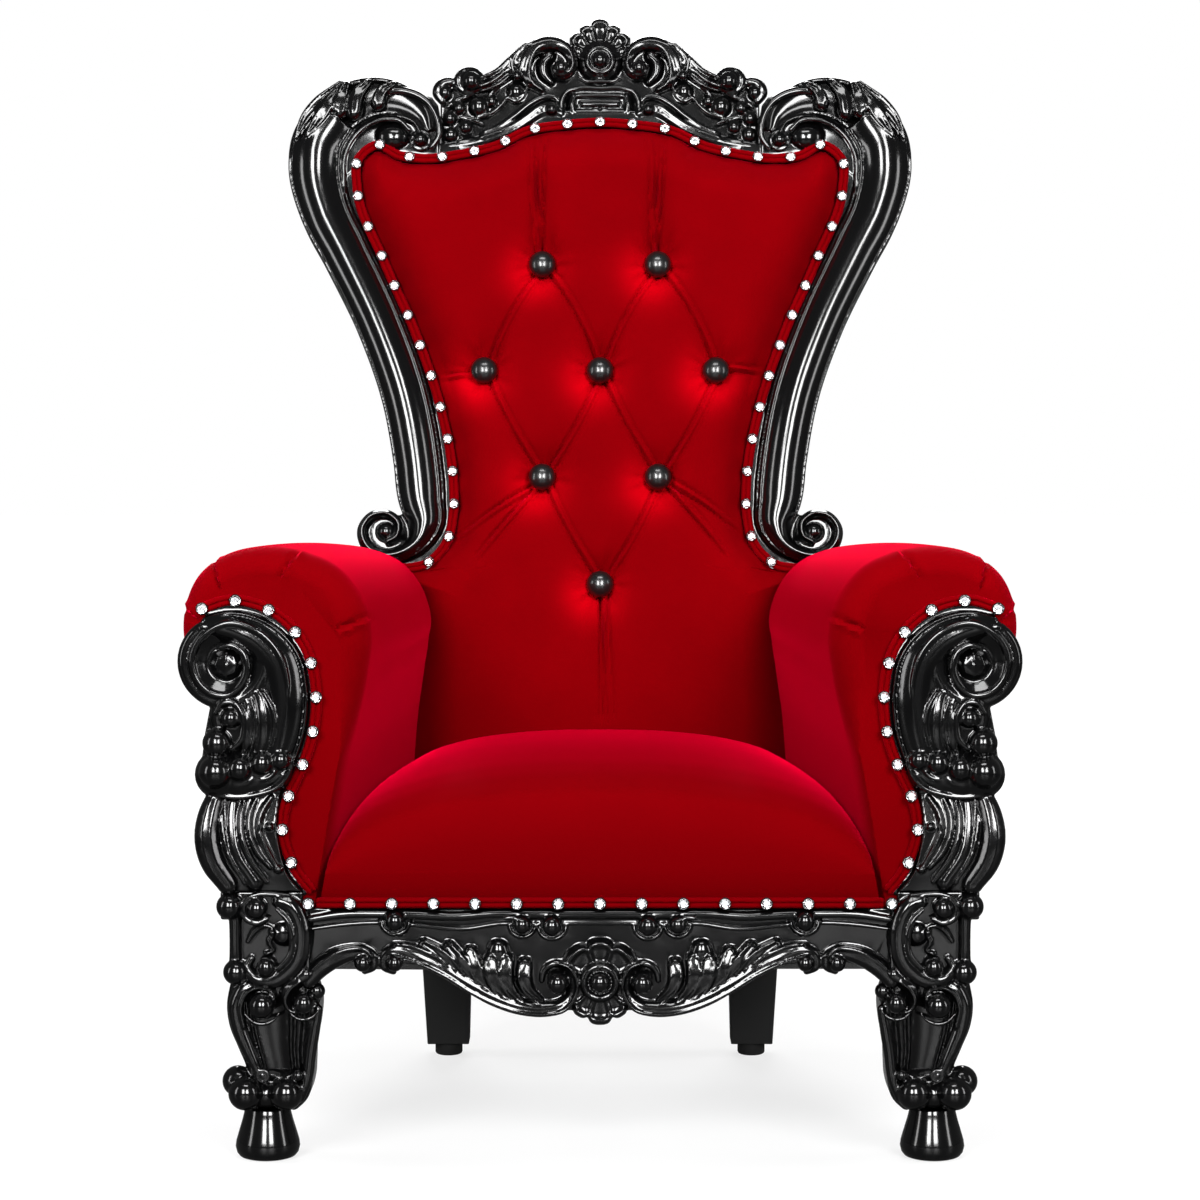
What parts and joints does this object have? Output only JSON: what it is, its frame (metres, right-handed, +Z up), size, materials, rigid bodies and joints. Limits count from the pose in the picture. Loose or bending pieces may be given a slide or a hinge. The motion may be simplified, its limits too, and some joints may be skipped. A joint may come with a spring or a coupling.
{
  "type": "throne chair",
  "caption": "High-backed ceremonial armchair with a carved black lacquer frame, rolled arms and buttoned red velvet upholstery edged with cut-glass nailheads.",
  "frame": {"origin": "on the floor under the middle of the chair's bounding box", "axes": "+Z up, -Y the way the chair faces, +X to the right as seen from the front"},
  "size_m": [0.848, 0.6938, 1.2191],
  "materials": {
    "lacquer": "high-gloss black lacquer",
    "satin_black": "satin black",
    "velvet": "short-pile red velvet",
    "crystal": "cut clear glass",
    "rubber": "matte"
  },
  "bodies": {
    "root": {"arm_post_left": "lacquer", "arm_post_right": "lacquer", "front_leg_left": "lacquer", "front_leg_right": "lacquer", "back_post_left": "lacquer", "back_post_right": "lacquer", "front_foot_left": "satin_black", "front_foot_right": "satin_black", "side_rail_left": "satin_black", "side_rail_right": "satin_black", "back_leg_left": "satin_black", "back_leg_right": "satin_black", "back_glide_left": "rubber", "back_glide_right": "rubber", "arm_left": "velvet", "arm_right": "velvet", "arm_trim_left": "crystal", "arm_trim_right": "crystal", "front_rail": "lacquer", "crest_rail": "lacquer", "back_rail": "satin_black", "back_cushion": "velvet", "outer_back": "velvet", "seat": "velvet", "back_trim": "crystal", "seat_trim": "crystal", "back_button_1": "satin_black", "back_button_2": "satin_black", "back_button_3": "satin_black", "back_button_4": "satin_black", "back_button_5": "satin_black", "back_button_6": "satin_black", "back_button_7": "satin_black", "back_button_8": "satin_black"}
  },
  "joints": []
}
